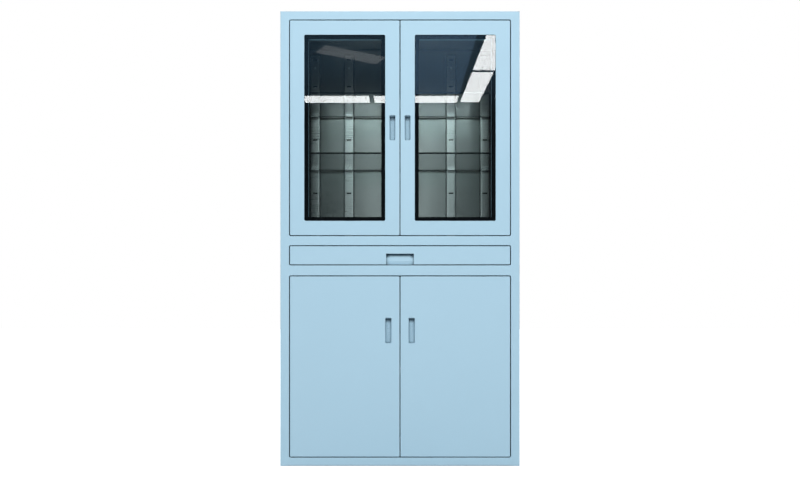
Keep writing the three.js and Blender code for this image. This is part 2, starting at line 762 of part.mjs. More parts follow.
cabinet.add(
  mesh('top_panel', topPanel(), 'paint'),
  mesh('upper_deck', pinHoles(deck(UPPER_FLOOR, DRAWER_TOP), UPPER_FLOOR), 'paint'),
  mesh('lower_deck', pinHoles(deck(DRAWER_FLOOR, LOWER_TOP), LOWER_TOP), 'paint'),
  mesh('base_panel', basePanel(), 'paint'),
  mesh('back_panel', backPanel(), 'liner'),
  mesh('steel_shelf', steelShelf(), 'paint'),
  mesh('catch_upper', catchBlock(UPPER_TOP), 'plastic'),
  mesh('catch_lower', catchBlock(LOWER_TOP), 'plastic'),
  mesh('drawer_front', drawerFront(), 'paint'),
  mesh('drawer_pull', drawerPull(), 'paint'),
  mesh('drawer_bottom', drawerBottom(), 'zinc'),
  mesh('drawer_back', drawerBack(), 'zinc'),
);
shelfLevels.forEach((level, i) => cabinet.add(mesh(`glass_shelf_${i + 1}`, glassShelf(level), 'glass')));

// The left half mirrors the right half
[['right', 1], ['left', -1]].forEach(([hand, side]) => {
  const half = new THREE.Group();
  half.scale.x = side;
  const add = (name, solid, finish) => half.add(mesh(`${name}_${hand}`, solid, finish));

  add('side_panel', sidePanel(), 'paint');
  add('shelf_ledge', shelfLedge(), 'zinc');
  [['inner', UPRIGHT_INNER], ['outer', SIDE - UPRIGHT_OUTER_INSET]].forEach(([place, x]) => {
    add(`upright_${place}`, upright(x), 'steel');
    shelfLevels.forEach((level, i) => add(`clip_${place}_${i + 1}`, backClip(x, level), 'steel'));
  });
  add('side_support', sideSupport(shelfLevels), 'steel');

  add('slide_cabinet', slideCabinet(), 'zinc');
  add('slide_middle', slideMiddle(), 'zinc');
  add('slide_drawer', slideDrawer(), 'zinc');
  add('drawer_side', drawerSide(), 'zinc');

  add('upper_door_skin', upperDoorSkin(), 'paint');
  add('upper_door_seal', windowSeal(), 'seal');
  add('upper_door_pane', windowPane(), 'glass');
  add('upper_door_cup', handleCup(UPPER_MOUTH), 'paint');
  add('upper_door_pin_top', hingePin(UPPER_FACE.z1, 1), 'steel');
  add('upper_door_pin_bottom', hingePin(UPPER_FACE.z0, -1), 'steel');

  add('lower_door_skin', lowerDoorSkin(), 'paint');
  add('lower_door_cup', handleCup(LOWER_MOUTH), 'paint');
  add('lower_door_pin_top', hingePin(LOWER_FACE.z1, 1), 'steel');
  add('lower_door_pin_bottom', hingePin(LOWER_FACE.z0, -1), 'steel');
  cabinet.add(half);
});

export default cabinet;
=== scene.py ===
"""Looks of the glass door medical cabinet: finishes, fasteners, studio and camera."""

import math

import bmesh
import bpy
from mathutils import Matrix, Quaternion, Vector


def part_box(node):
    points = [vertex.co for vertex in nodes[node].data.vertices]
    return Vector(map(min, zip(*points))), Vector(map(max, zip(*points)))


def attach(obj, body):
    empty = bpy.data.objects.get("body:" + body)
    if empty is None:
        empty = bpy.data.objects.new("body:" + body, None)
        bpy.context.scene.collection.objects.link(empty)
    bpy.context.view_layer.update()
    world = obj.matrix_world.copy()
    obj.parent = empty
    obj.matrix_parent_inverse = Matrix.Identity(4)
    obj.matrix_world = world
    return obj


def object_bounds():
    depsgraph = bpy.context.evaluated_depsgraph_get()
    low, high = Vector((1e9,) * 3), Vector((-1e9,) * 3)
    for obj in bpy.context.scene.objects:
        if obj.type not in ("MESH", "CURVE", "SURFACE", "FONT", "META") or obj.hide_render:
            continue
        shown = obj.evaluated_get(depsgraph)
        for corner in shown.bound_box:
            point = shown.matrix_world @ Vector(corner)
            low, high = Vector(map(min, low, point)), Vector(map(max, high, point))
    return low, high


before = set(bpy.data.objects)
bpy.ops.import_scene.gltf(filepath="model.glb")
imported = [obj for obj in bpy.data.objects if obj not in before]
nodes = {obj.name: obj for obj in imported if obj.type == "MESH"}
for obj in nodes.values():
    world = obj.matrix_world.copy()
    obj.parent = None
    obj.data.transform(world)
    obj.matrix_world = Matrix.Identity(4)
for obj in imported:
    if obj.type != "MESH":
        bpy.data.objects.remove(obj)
cad_low, cad_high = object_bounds()

# Planes of the cabinet, in metres
FRONT = cad_low.y
BACK = cad_high.y
SIDE = cad_high.x
TOP = cad_high.z
SHEET = 0.001
STILE_WIDTH = 0.033
STILE_DEPTH = 0.024
STILE_EDGE = SIDE - STILE_WIDTH
STILE_REAR = FRONT + STILE_DEPTH
INNER_WALL = SIDE - SHEET
FOLD = 0.002

# Welds at the rails' ends, and the rails' openings below and above them
WELD_CORNER = 0.006
WELD_DEPTH = 0.008
WELD_LAP = 0.0005
WELD_SINK = 0.00001
FOLD_STEPS = 4
CORNER_STEPS = 6
RAILS = {
    "base_panel": (False, True), "lower_deck": (True, True),
    "upper_deck": (True, True), "top_panel": (True, False),
}

# Black channels on the glass shelves' rear edges; their black is partly painted shade for the gap
# behind them
CUSHION_WALL = 0.0008
CUSHION_REACH = 0.003
CUSHION_EASE = 0.0003
CUSHION_END = 0.006
CLIP_CLEARANCE = 0.002

# Fasteners: heads of radius 1, as (radius, height) pairs, and the cross cut into the screws
HEAD_SIDES = 16
RIVET_PROFILE = [(1.0, 0.0), (1.0, 0.08), (0.92, 0.26), (0.7, 0.4), (0.38, 0.46), (0.3, 0.28)]
SCREW_PROFILE = [(1.0, 0.0), (1.0, 0.3), (0.92, 0.5), (0.72, 0.62)]
CROSS_LENGTH = 0.5
CROSS_HALF = 0.11
CROSS_TOP = 0.62
CROSS_FLOOR = 0.25
CROSS_TAPER = (0.7, 0.9)

# Fasteners: radius, how many stand in a row, and how far the rows stay from the pieces' edges
BACK_RIVET = 0.0032
FLANGE_MIDDLE = 0.009
BACK_ROW_ENDS = (0.07, 0.06)
BACK_ROW_COUNT = 11
CROSS_ROW_HALF = 0.36
CROSS_ROW_COUNT = 7
UPRIGHT_SCREW = 0.0042
UPRIGHT_SCREW_ENDS = (0.03, 0.055)
CATCH_SCREW = 0.003
CATCH_SCREW_INSET = 0.010
WALL_RIVET = 0.0028
WALL_RIVET_COUNT = 3
LEDGE_ROW_END = 0.03
LEDGE_ROW_RISE = 0.008
SUPPORT_ROW_ENDS = (0.0085, 0.08)
SLIDE_SCREW = 0.0035
SLIDE_SCREW_COUNT = 4
SLIDE_ROW_ENDS = (0.035, 0.04)

# Shading of edges: degrees above which an edge stays sharp
FOLD_ANGLE = 50
PIECE_ANGLE = 30
HEAD_ANGLE = 25
MERGE_DISTANCE = 0.00001

# Shade in joints: how far it looks, and the open share of sky at which it is full and gone
JOINT_REACH = 0.012
JOINT_DEEP = 0.1
JOINT_OPEN = 0.7
SHADE_SAMPLES = 6

# Powder coat: linear colours, and the scales of its clouds, pebbles and handling marks
PAINT_BLUE = (0.380, 0.561, 0.672, 1)
PAINT_BLUE_DEEP = (0.365, 0.545, 0.656, 1)
# Colour of the painted shade in joints, gaps and recesses
PAINTED_SHADE_BLUE = (0.02, 0.05, 0.075, 1)
PAINT_SPECULAR = 0.15
PAINT_GLOSS = 0.5
PAINT_GLOSS_SPREAD = 0.12
PAINT_CLOUDS = 3.0
PAINT_PEBBLES = 420.0
PAINT_MARKS = 14.0
PAINT_BUMP = (0.25, 0.00025)

# Satin steel: light and dark tones, stroke and shade scales
STEEL_LIGHT = (0.32, 0.325, 0.315, 1)
STEEL_DARK = (0.22, 0.225, 0.22, 1)
# Colour of the painted shade in the steel's joints
STEEL_PAINTED_SHADE = (0.012, 0.018, 0.018, 1)
STEEL_REACH = 0.01
STEEL_GLOSS = 0.32
STEEL_GLOSS_SPREAD = 0.2
STROKE_SCALE = (9.0, 9.0, 900.0)
STROKE_SHARE = 0.6
SHADE_SCALE = (1.2, 1.2, 9.0)
SHADE_SHARE = 0.4
STROKE_DEPTH = 0.0002
LINING_METAL = 0.74
LINING_BUMP = (0.22, 0.0002)
UPRIGHT_TONES = ((0.40, 0.40, 0.39, 1), (0.31, 0.31, 0.305, 1))
PIN_TONES = ((0.11, 0.11, 0.11, 1), (0.07, 0.07, 0.07, 1))
STAINLESS_TONES = ((0.66, 0.68, 0.68, 1), (0.53, 0.55, 0.55, 1))
CLIP_TONES = ((0.92, 0.93, 0.92, 1), (0.80, 0.81, 0.80, 1))

# Zinc plate
ZINC_LIGHT = (0.60, 0.62, 0.63, 1)
ZINC_DARK = (0.47, 0.49, 0.50, 1)
ZINC_GLOSS = (0.32, 0.5)
ZINC_METAL = 0.85
SPANGLE_SCALE = 140.0

# Rubber and plastic
SEAL_BLACK = (0.0035, 0.004, 0.006, 1)
SEAL_GREY = (0.007, 0.008, 0.011, 1)
CATCH_GREY = (0.050, 0.052, 0.055, 1)
CATCH_SHADE = (0.038, 0.040, 0.043, 1)
GRAIN_SPREAD = 0.08
GRAIN_BUMP = (0.2, 0.0001)

# Glass
GLASS_TINT = (0.735, 0.785, 0.79, 1)
SHELF_TINT = (0.92, 0.965, 0.955, 1)
SHELF_EDGE = (0.006, 0.02, 0.018, 1)
PANE_EDGE = (0.05, 0.12, 0.11, 1)
GLASS_IOR = 1.5
WIPE_SCALE = (5.0, 5.0, 2.0)
WIPE_RANGE = (0.45, 0.8)
WIPE_ROUGHNESS = 0.012
FLAT_FACE = 0.9

# Camera: the photograph's frame is 800 by 500 pixels, and the cabinet's front is 3.76 mm
# to the pixel
FRAME_WIDTH = 800
SENSOR_WIDTH = 36.0
FRONT_SCALE = 0.0037594
CAMERA_DISTANCE = 2.6
CAMERA_HEIGHT = 0.624
HORIZON_DROP = 50

# Room: what the surfaces take in and what they mirror
WHITE = (1, 1, 1, 1)
ROOM_LIGHT = (0.50, 0.51, 0.53, 1)
ROOM_LOW = (0.035, 0.046, 0.053, 1)
ROOM_HIGH = (0.13, 0.26, 0.40, 1)
ROOM_EDGE = (0.26, 0.32)

# Floor: it is lifted to white for the camera, the more so with distance
FLOOR_REACH = 12.0
FLOOR_DARK = (0.58, 0.58, 0.58, 1)
FLOOR_LIGHT = (0.60, 0.60, 0.60, 1)
FLOOR_CLOUDS = 0.8
FLOOR_ROUGHNESS = 0.6
FLOOR_SPECULAR = 0.1
FLOOR_LIFT = 0.66
FLOOR_FADE = (1.5, 6.0)

# Ceiling strips that the panes mirror: place across, distance from the front, size,
# turn in degrees, radiance, colour
STRIP_HEIGHT = 2.8
STRIP_RADIANCE = 11.0
STRIP_WHITE = (1, 1, 1)
STRIP_BLUE = (0.36, 0.62, 1.0)
STRIPS = [
    ("strip_left", -0.686, 4.9, (0.711, 0.26), 0, STRIP_RADIANCE, STRIP_WHITE),
    ("strip_right", 0.172, 4.9, (0.905, 0.26), 0, STRIP_RADIANCE, STRIP_WHITE),
    ("strip_far", 0.778, 4.5, (0.207, 1.0), -1.5, STRIP_RADIANCE, STRIP_WHITE),
    ("strip_near", 0.803, 3.5, (0.207, 0.886), -1.5, STRIP_RADIANCE, STRIP_WHITE),
    ("strip_dim", -0.43, 3.54, (0.60, 0.21), -30, STRIP_RADIANCE / 14, STRIP_WHITE),
    ("strip_blue", 0.37, 3.875, (0.52, 1.65), 0, STRIP_RADIANCE / 15, STRIP_BLUE),
]

# Lamps: a key from above, a glow and a band for the lining, soft fills for the other sides
KEY_PLACE = Vector((0, -6.2, 4.6))
KEY_AIM = Vector((0, 0, 3.6))
KEY_SIZE = (1.0, 0.6)
KEY_POWER = 194
KEY_SPREAD = 140
GLOW_PLACE = Vector((0, -3.6, 1.475))
GLOW_SIZE = (0.7, 2.15)
GLOW_POWER = 14.0
BAND_PLACE = Vector((0, -3.6, 2.74))
BAND_SIZE = (1.0, 0.12)
BAND_POWER = 10.0
FILL_SIZE = (1.8, 1.8)
FILLS = [
    # name, place, direction, power
    ("fill_right", Vector((3.2, 0.7, 1.5)), Vector((-1, -0.05, -0.15)), 22),
    ("fill_left", Vector((-3.2, 0.7, 1.5)), Vector((1, -0.05, -0.15)), 22),
    ("fill_back", Vector((0, 4.0, 2.4)), Vector((0, -1, -0.4)), 45),
    ("fill_top", Vector((0, 0.9, 4.4)), Vector((0, -0.1, -1)), 14),
]


# Node helpers

def place(tree, kind, **settings):
    node = tree.nodes.new(kind)
    for name, value in settings.items():
        setattr(node, name, value)
    return node


def value_of(tree, socket, source):
    """Sets a socket from a number, a colour or another node's output."""
    if isinstance(source, bpy.types.NodeSocket):
        tree.links.new(source, socket)
    else:
        socket.default_value = source


def math_node(tree, operation, *sources):
    node = place(tree, "ShaderNodeMath", operation=operation)
    for socket, source in zip(node.inputs, sources):
        value_of(tree, socket, source)
    return node.outputs[0]


def mix_colour(tree, factor, first, second):
    """Mixes two colours. The sockets go by number, since other kinds share their names."""
    node = place(tree, "ShaderNodeMix", data_type="RGBA")
    value_of(tree, node.inputs[0], factor)
    value_of(tree, node.inputs[6], first)
    value_of(tree, node.inputs[7], second)
    return node.outputs[2]


def mix_value(tree, factor, first, second):
    node = place(tree, "ShaderNodeMix", data_type="FLOAT")
    value_of(tree, node.inputs[0], factor)
    value_of(tree, node.inputs[2], first)
    value_of(tree, node.inputs[3], second)
    return node.outputs[0]


def noise(tree, vector, scale, detail=2.0, rough=0.5):
    node = place(tree, "ShaderNodeTexNoise")
    tree.links.new(vector, node.inputs["Vector"])
    value_of(tree, node.inputs["Scale"], scale)
    node.inputs["Detail"].default_value = detail
    node.inputs["Roughness"].default_value = rough
    return node.outputs["Fac"]


def stretch(tree, vector, scale):
    node = place(tree, "ShaderNodeMapping")
    tree.links.new(vector, node.inputs["Vector"])
    node.inputs["Scale"].default_value = scale
    return node.outputs["Vector"]


def object_point(tree):
    return place(tree, "ShaderNodeTexCoord").outputs["Object"]


def new_group(name, inputs, outputs):
    tree = bpy.data.node_groups.new(name, "ShaderNodeTree")
    for label, kind, default in inputs:
        socket = tree.interface.new_socket(label, in_out="INPUT", socket_type=kind)
        socket.default_value = default
    for label, kind in outputs:
        tree.interface.new_socket(label, in_out="OUTPUT", socket_type=kind)
    return tree, place(tree, "NodeGroupInput"), place(tree, "NodeGroupOutput")


def use_group(tree, group, **values):
    node = place(tree, "ShaderNodeGroup", node_tree=group)
    for name, value in values.items():
        value_of(tree, node.inputs[name.replace("_", " ")], value)
    return node


# Shared surface effects

def make_painted_shade():
    """0 in the open, 1 deep in a joint or a corner. With a lean, the shade gathers mostly
    under what hangs over the place."""
    tree, given, result = new_group(
        "painted_shade",
        [("Reach", "NodeSocketFloat", JOINT_REACH), ("Deep", "NodeSocketFloat", JOINT_DEEP),
         ("Open", "NodeSocketFloat", JOINT_OPEN), ("Lean", "NodeSocketFloat", 0.0)],
        [("Mask", "NodeSocketFloat")],
    )
    open_share = place(tree, "ShaderNodeAmbientOcclusion", samples=SHADE_SAMPLES)
    upward = place(tree, "ShaderNodeCombineXYZ")
    tree.links.new(given.outputs["Lean"], upward.inputs["Z"])
    leaning = place(tree, "ShaderNodeVectorMath", operation="ADD")
    tree.links.new(place(tree, "ShaderNodeNewGeometry").outputs["Normal"], leaning.inputs[0])
    tree.links.new(upward.outputs["Vector"], leaning.inputs[1])
    facing = place(tree, "ShaderNodeVectorMath", operation="NORMALIZE")
    tree.links.new(leaning.outputs["Vector"], facing.inputs[0])
    tree.links.new(facing.outputs["Vector"], open_share.inputs["Normal"])
    tree.links.new(given.outputs["Reach"], open_share.inputs["Distance"])
    grade = place(tree, "ShaderNodeMapRange")
    tree.links.new(open_share.outputs["AO"], grade.inputs["Value"])
    tree.links.new(given.outputs["Deep"], grade.inputs["From Min"])
    tree.links.new(given.outputs["Open"], grade.inputs["From Max"])
    grade.inputs["To Min"].default_value = 1.0
    grade.inputs["To Max"].default_value = 0.0
    tree.links.new(grade.outputs["Result"], result.inputs["Mask"])
    return tree


PAINTED_SHADE = make_painted_shade()
COAT_OUTPUTS = [
    ("Colour", "NodeSocketColor"), ("Height", "NodeSocketFloat"),
    ("Roughness", "NodeSocketFloat"),
]


def uneven(tree, gloss, pattern, spread):
    """A gloss that goes up and down with a pattern."""
    change = math_node(tree, "MULTIPLY", math_node(tree, "SUBTRACT", pattern, 0.5), spread)
    return math_node(tree, "ADD", gloss, change)


def make_orange_peel():
    """Sprayed coat: two close shades in soft clouds, pebbled, with an uneven gloss, and
    painted shade that darkens it in the joints."""
    tree, given, result = new_group(
        "orange_peel",
        [("Light", "NodeSocketColor", PAINT_BLUE), ("Deep", "NodeSocketColor", PAINT_BLUE_DEEP),
         ("Painted Shade", "NodeSocketColor", PAINTED_SHADE_BLUE), ("Reach", "NodeSocketFloat", JOINT_REACH),
         ("Depth", "NodeSocketFloat", JOINT_DEEP), ("Lean", "NodeSocketFloat", 0.0),
         ("Pebbles", "NodeSocketFloat", PAINT_PEBBLES), ("Gloss", "NodeSocketFloat", PAINT_GLOSS)],
        COAT_OUTPUTS,
    )
    point = object_point(tree)
    clouds = noise(tree, point, PAINT_CLOUDS, detail=3.0)
    pebbles = noise(tree, point, given.outputs["Pebbles"], detail=1.0)
    handling = noise(tree, point, PAINT_MARKS, detail=4.0, rough=0.6)
    coat = mix_colour(tree, clouds, given.outputs["Light"], given.outputs["Deep"])
    # Painted shade: the coat turns dark blue in joints and corners, the more so the less sky they
    # see
    painted_shade = use_group(
        tree, PAINTED_SHADE, Reach=given.outputs["Reach"], Deep=given.outputs["Depth"],
        Lean=given.outputs["Lean"],
    )
    joint = painted_shade.outputs["Mask"]
    colour = mix_colour(tree, joint, coat, given.outputs["Painted Shade"])
    tree.links.new(colour, result.inputs["Colour"])
    tree.links.new(pebbles, result.inputs["Height"])
    gloss = uneven(tree, given.outputs["Gloss"], handling, PAINT_GLOSS_SPREAD)
    tree.links.new(gloss, result.inputs["Roughness"])
    return tree


def make_brushing():
    """Satin steel: fine level strokes, broad shades across them, painted shade in joints."""
    tree, given, result = new_group(
        "brushing",
        [("Light", "NodeSocketColor", STEEL_LIGHT), ("Dark", "NodeSocketColor", STEEL_DARK),
         ("Painted Shade", "NodeSocketColor", STEEL_PAINTED_SHADE), ("Reach", "NodeSocketFloat", STEEL_REACH),
         ("Depth", "NodeSocketFloat", JOINT_DEEP), ("Gloss", "NodeSocketFloat", STEEL_GLOSS)],
        COAT_OUTPUTS,
    )
    point = object_point(tree)
    strokes = noise(tree, stretch(tree, point, STROKE_SCALE), scale=1.0)
    bands = noise(tree, stretch(tree, point, SHADE_SCALE), scale=1.0)
    fine = math_node(tree, "MULTIPLY", strokes, STROKE_SHARE)
    broad = math_node(tree, "MULTIPLY", bands, SHADE_SHARE)
    shade = math_node(tree, "ADD", fine, broad)
    satin = mix_colour(tree, shade, given.outputs["Dark"], given.outputs["Light"])
    # Painted shade: the steel turns near black in joints and corners, the more so the less sky
    # they see
    painted_shade = use_group(
        tree, PAINTED_SHADE, Reach=given.outputs["Reach"], Deep=given.outputs["Depth"])
    joint = painted_shade.outputs["Mask"]
    colour = mix_colour(tree, joint, satin, given.outputs["Painted Shade"])
    tree.links.new(colour, result.inputs["Colour"])
    tree.links.new(strokes, result.inputs["Height"])
    gloss = uneven(tree, given.outputs["Gloss"], shade, STEEL_GLOSS_SPREAD)
    tree.links.new(gloss, result.inputs["Roughness"])
    return tree


def make_lining_mask():
    """1 on the faces that line the compartments, 0 on the outside of the cabinet."""
    tree, given, result = new_group(
        "lining_mask",
        [("Half Width", "NodeSocketFloat", SIDE), ("Front", "NodeSocketFloat", FRONT),
         ("Back", "NodeSocketFloat", BACK), ("Floor", "NodeSocketFloat", 0.0),
         ("Top", "NodeSocketFloat", TOP)],
        [("Mask", "NodeSocketFloat")],
    )
    split = place(tree, "ShaderNodeSeparateXYZ")
    tree.links.new(object_point(tree), split.inputs[0])
    x, y, z = split.outputs
    tests = [
        math_node(
            tree, "LESS_THAN", math_node(tree, "ABSOLUTE", x), given.outputs["Half Width"]),
        math_node(tree, "GREATER_THAN", y, given.outputs["Front"]),
        math_node(tree, "LESS_THAN", y, given.outputs["Back"]),
        math_node(tree, "GREATER_THAN", z, given.outputs["Floor"]),
        math_node(tree, "LESS_THAN", z, given.outputs["Top"]),
    ]
    mask = tests[0]
    for test in tests[1:]:
        mask = math_node(tree, "MULTIPLY", mask, test)
    tree.links.new(mask, result.inputs["Mask"])
    return tree


ORANGE_PEEL = make_orange_peel()
BRUSHING = make_brushing()
LINING_MASK = make_lining_mask()


# Materials

def new_material(name):
    material = bpy.data.materials.new(name)
    material.use_nodes = True
    tree = material.node_tree
    shader = tree.nodes["Principled BSDF"]
    return material, tree, shader


def bump(tree, shader, height, strength, distance):
    node = place(tree, "ShaderNodeBump")
    tree.links.new(height, node.inputs["Height"])
    node.inputs["Strength"].default_value = strength
    node.inputs["Distance"].default_value = distance
    tree.links.new(node.outputs["Normal"], shader.inputs["Normal"])


def make_powder_coat(name, reach, depth, lean):
    material, tree, shader = new_material(name)
    shader.inputs["Specular IOR Level"].default_value = PAINT_SPECULAR
    peel = use_group(tree, ORANGE_PEEL, Reach=reach, Depth=depth, Lean=lean)
    tree.links.new(peel.outputs["Colour"], shader.inputs["Base Color"])
    tree.links.new(peel.outputs["Roughness"], shader.inputs["Roughness"])
    bump(tree, shader, peel.outputs["Height"], *PAINT_BUMP)
    return material


def make_lined_sheet(name, back, gloss, stroke, reach, depth):
    """Powder coat outside, satin steel lining inside, as far as a plane at the back."""
    material, tree, shader = new_material(name)
    shader.inputs["Specular IOR Level"].default_value = PAINT_SPECULAR
    peel = use_group(tree, ORANGE_PEEL)
    steel = use_group(tree, BRUSHING, Gloss=gloss, Reach=reach, Depth=depth)
    lining = use_group(
        tree, LINING_MASK, Half_Width=INNER_WALL + SHEET / 4, Front=STILE_REAR - SHEET / 4,
        Back=back, Floor=SHEET, Top=TOP - SHEET * 0.75,
    ).outputs["Mask"]
    colour = mix_colour(tree, lining, peel.outputs["Colour"], steel.outputs["Colour"])
    tree.links.new(colour, shader.inputs["Base Color"])
    rough = mix_value(tree, lining, peel.outputs["Roughness"], steel.outputs["Roughness"])
    tree.links.new(rough, shader.inputs["Roughness"])
    tree.links.new(math_node(tree, "MULTIPLY", lining, LINING_METAL), shader.inputs["Metallic"])
    strokes = math_node(tree, "MULTIPLY", steel.outputs["Height"], stroke)
    height = mix_value(tree, lining, peel.outputs["Height"], strokes)
    bump(tree, shader, height, *LINING_BUMP)
    return material


def make_satin_steel(name, light, dark, gloss, metal, stroke):
    material, tree, shader = new_material(name)
    steel = use_group(tree, BRUSHING, Light=light, Dark=dark, Gloss=gloss)
    tree.links.new(steel.outputs["Colour"], shader.inputs["Base Color"])
    tree.links.new(steel.outputs["Roughness"], shader.inputs["Roughness"])
    shader.inputs["Metallic"].default_value = metal
    bump(tree, shader, steel.outputs["Height"], stroke, STROKE_DEPTH)
    return material


def make_zinc():
    """Zinc plate: faint spangle in flat cells."""
    material, tree, shader = new_material("zinc_plate")
    cells = place(tree, "ShaderNodeTexVoronoi")
    tree.links.new(object_point(tree), cells.inputs["Vector"])
    cells.inputs["Scale"].default_value = SPANGLE_SCALE
    channels = place(tree, "ShaderNodeSeparateColor")
    tree.links.new(cells.outputs["Color"], channels.inputs["Color"])
    tone = channels.outputs["Red"]
    tree.links.new(mix_colour(tree, tone, ZINC_DARK, ZINC_LIGHT), shader.inputs["Base Color"])
    tree.links.new(mix_value(tree, tone, *ZINC_GLOSS), shader.inputs["Roughness"])
    shader.inputs["Metallic"].default_value = ZINC_METAL
    return material


def make_glass(name, tint, edge_tint):
    """Clear glass with faint wiping marks and deep-toned cut edges. Light passes straight
    through it."""
    material, tree, shader = new_material(name)
    wiped = stretch(tree, object_point(tree), WIPE_SCALE)
    marks = noise(tree, wiped, scale=1.0, detail=5.0, rough=0.65)
    smear = place(tree, "ShaderNodeMapRange")
    tree.links.new(marks, smear.inputs["Value"])
    smear.inputs["From Min"].default_value, smear.inputs["From Max"].default_value = WIPE_RANGE
    smear.inputs["To Max"].default_value = WIPE_ROUGHNESS
    tree.links.new(smear.outputs["Result"], shader.inputs["Roughness"])
    split = place(tree, "ShaderNodeSeparateXYZ")
    tree.links.new(place(tree, "ShaderNodeTexCoord").outputs["Normal"], split.inputs[0])
    sizes = [math_node(tree, "ABSOLUTE", split.outputs[axis]) for axis in ("Y", "Z")]
    cut_edge = math_node(tree, "LESS_THAN", math_node(tree, "MAXIMUM", *sizes), FLAT_FACE)
    colour = mix_colour(tree, cut_edge, tint, edge_tint)
    tree.links.new(colour, shader.inputs["Base Color"])
    shader.inputs["IOR"].default_value = GLASS_IOR
    shader.inputs["Transmission Weight"].default_value = 1.0
    clear = place(tree, "ShaderNodeBsdfTransparent")
    tree.links.new(colour, clear.inputs["Color"])
    rays = place(tree, "ShaderNodeLightPath").outputs
    mirrored = math_node(tree, "SUBTRACT", rays["Is Glossy Ray"], rays["Is Transmission Ray"])
    inside_glass = math_node(tree, "MODULO", rays["Transmission Depth"], 2.0)
    outside = math_node(tree, "SUBTRACT", mirrored, inside_glass)
    soft = math_node(tree, "MAXIMUM", rays["Is Diffuse Ray"], outside)
    passes = math_node(tree, "MAXIMUM", rays["Is Shadow Ray"], soft)
    choose = place(tree, "ShaderNodeMixShader")
    tree.links.new(passes, choose.inputs[0])
    tree.links.new(shader.outputs[0], choose.inputs[1])
    tree.links.new(clear.outputs[0], choose.inputs[2])
    tree.links.new(choose.outputs[0], tree.nodes["Material Output"].inputs["Surface"])
    return material


def make_speckled(name, light, dark, roughness, scale, specular):
    """Moulded rubber or plastic with a fine grain."""
    material, tree, shader = new_material(name)
    shader.inputs["Specular IOR Level"].default_value = specular
    grain = noise(tree, object_point(tree), scale, detail=3.0)
    tree.links.new(mix_colour(tree, grain, dark, light), shader.inputs["Base Color"])
    gloss = mix_value(tree, grain, roughness - GRAIN_SPREAD, roughness + GRAIN_SPREAD)
    tree.links.new(gloss, shader.inputs["Roughness"])
    bump(tree, shader, grain, *GRAIN_BUMP)
    return material


PANEL_MIDDLE = sum(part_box("back_panel")[i].y for i in (0, 1)) / 2

POWDER_COAT = make_powder_coat(
    "powder_coat_blue", reach=JOINT_REACH, depth=JOINT_DEEP, lean=0.0)
# Powder coat of the handle recesses with a strong painted shade, leaned so that it gathers under
# the upper lips as a painted shadow from above
SHADED_RECESS_COAT = make_powder_coat("powder_coat_recess_shaded", reach=0.017, depth=0.38, lean=0.8)
CARCASS_SHEET = make_lined_sheet(
    "carcass_sheet", back=BACK - SHEET * 0.75, gloss=STEEL_GLOSS, stroke=1.0,
    reach=STEEL_REACH, depth=JOINT_DEEP,
)
# The back panel's lining takes a wide, strong painted shade, which draws dark lines beside the
# uprights and clips
BACK_SHEET = make_lined_sheet(
    "back_sheet", back=PANEL_MIDDLE, gloss=0.19, stroke=0.09, reach=0.018, depth=0.5)
LINER = make_satin_steel(
    "satin_liner", STEEL_LIGHT, STEEL_DARK, gloss=0.22, metal=LINING_METAL, stroke=0.02)
UPRIGHT_STEEL = make_satin_steel(
    "upright_steel", *UPRIGHT_TONES, gloss=0.3, metal=0.8, stroke=0.04)
PIN_STEEL = make_satin_steel("pin_steel", *PIN_TONES, gloss=0.45, metal=0.9, stroke=0.04)
STAINLESS = make_satin_steel(
    "stainless", *STAINLESS_TONES, gloss=0.36, metal=0.6, stroke=0.12)
CLIP_STEEL = make_satin_steel("clip_steel", *CLIP_TONES, gloss=0.26, metal=0.5, stroke=0.04)
ZINC = make_zinc()
PANE_GLASS = make_glass("pane_glass", GLASS_TINT, PANE_EDGE)
SHELF_GLASS = make_glass("shelf_glass", SHELF_TINT, SHELF_EDGE)
GLASS = (PANE_GLASS, SHELF_GLASS)
SEAL = make_speckled(
    "seal_black", SEAL_GREY, SEAL_BLACK, roughness=0.7, scale=900.0, specular=0.08)
CATCH = make_speckled(
    "catch_plastic", CATCH_GREY, CATCH_SHADE, roughness=0.5, scale=700.0, specular=0.5)


# Finish of each CAD piece

ZINC_PIECES = ("slide", "shelf_ledge", "drawer_bottom", "drawer_back", "drawer_side")
SHEET_PIECES = ("side_panel", "top_panel", "upper_deck", "lower_deck", "base_panel")


def finish_of(name):
    if "_pane_" in name:
        return PANE_GLASS
    if name.startswith("glass_shelf"):
        return SHELF_GLASS
    if "_seal_" in name:
        return SEAL
    if name.startswith("catch"):
        return CATCH
    if name == "back_panel":
        return BACK_SHEET
    if name == "steel_shelf":
        return LINER
    if name.startswith("upright"):
        return UPRIGHT_STEEL
    if "_pin_" in name:
        return PIN_STEEL
    if name.startswith("clip"):
        return CLIP_STEEL
    if name.startswith("side_support"):
        return STAINLESS
    if name.startswith(ZINC_PIECES):
        return ZINC
    if name.startswith(SHEET_PIECES):
        return CARCASS_SHEET
    if "_cup_" in name or name == "drawer_pull":
        return SHADED_RECESS_COAT
    return POWDER_COAT


